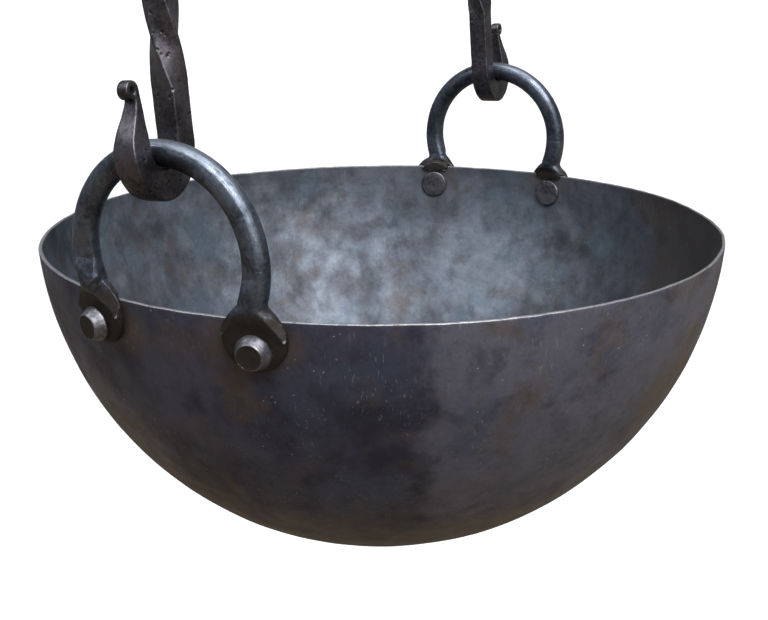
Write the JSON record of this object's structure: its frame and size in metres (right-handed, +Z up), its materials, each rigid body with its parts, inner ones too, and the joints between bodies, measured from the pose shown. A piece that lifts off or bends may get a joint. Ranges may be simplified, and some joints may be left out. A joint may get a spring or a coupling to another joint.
{
  "type": "hanging fire bowl",
  "caption": "Round forged steel fire bowl with two riveted horseshoe handles, hung from two twisted square-bar hangers with hooks and eyes.",
  "frame": {"origin": "below the middle of the bowl, level with its lowest point", "axes": "+Z up as it hangs, X through both handles with the left one at -X, +Y to the rear"},
  "size_m": [0.658, 0.5986, 0.6126],
  "materials": {
    "blackened_sheet": "hammered and blackened by fire, mottled blue-grey and brown, satin",
    "forged_round_bar": "forged dark scale, burnished on the high spots",
    "worn_rivet": "hammered, worn bright on the edges, brown in the middle",
    "forged_square_bar": "forged dark scale with a brown tint, worn edges"
  },
  "bodies": {
    "left_hanger": {"hanger_left": "forged_square_bar"},
    "bowl_and_handles": {"bowl": "blackened_sheet", "handle_left": "forged_round_bar", "handle_right": "forged_round_bar", "rivet_left_front": "worn_rivet", "rivet_left_rear": "worn_rivet", "rivet_right_front": "worn_rivet", "rivet_right_rear": "worn_rivet"},
    "right_hanger": {"hanger_right": "forged_square_bar"}
  },
  "joints": [
    {"name": "bowl_tip", "type": "hinge", "parent": "left_hanger", "child": "bowl_and_handles", "pos_m": [0, 0.00951, 0.32244], "axis": [1, 0, 0], "range_deg": [-75, 75]},
    {"name": "right_hook_slide", "type": "hinge", "parent": "bowl_and_handles", "child": "right_hanger", "pos_m": [0.296, 0.00951, 0.32244], "axis": [1, 0, 0], "range_deg": [-75, 75]}
  ],
  "couplings": [
    {"joint": "right_hook_slide", "follows": "bowl_tip", "ratio": -1}
  ]
}
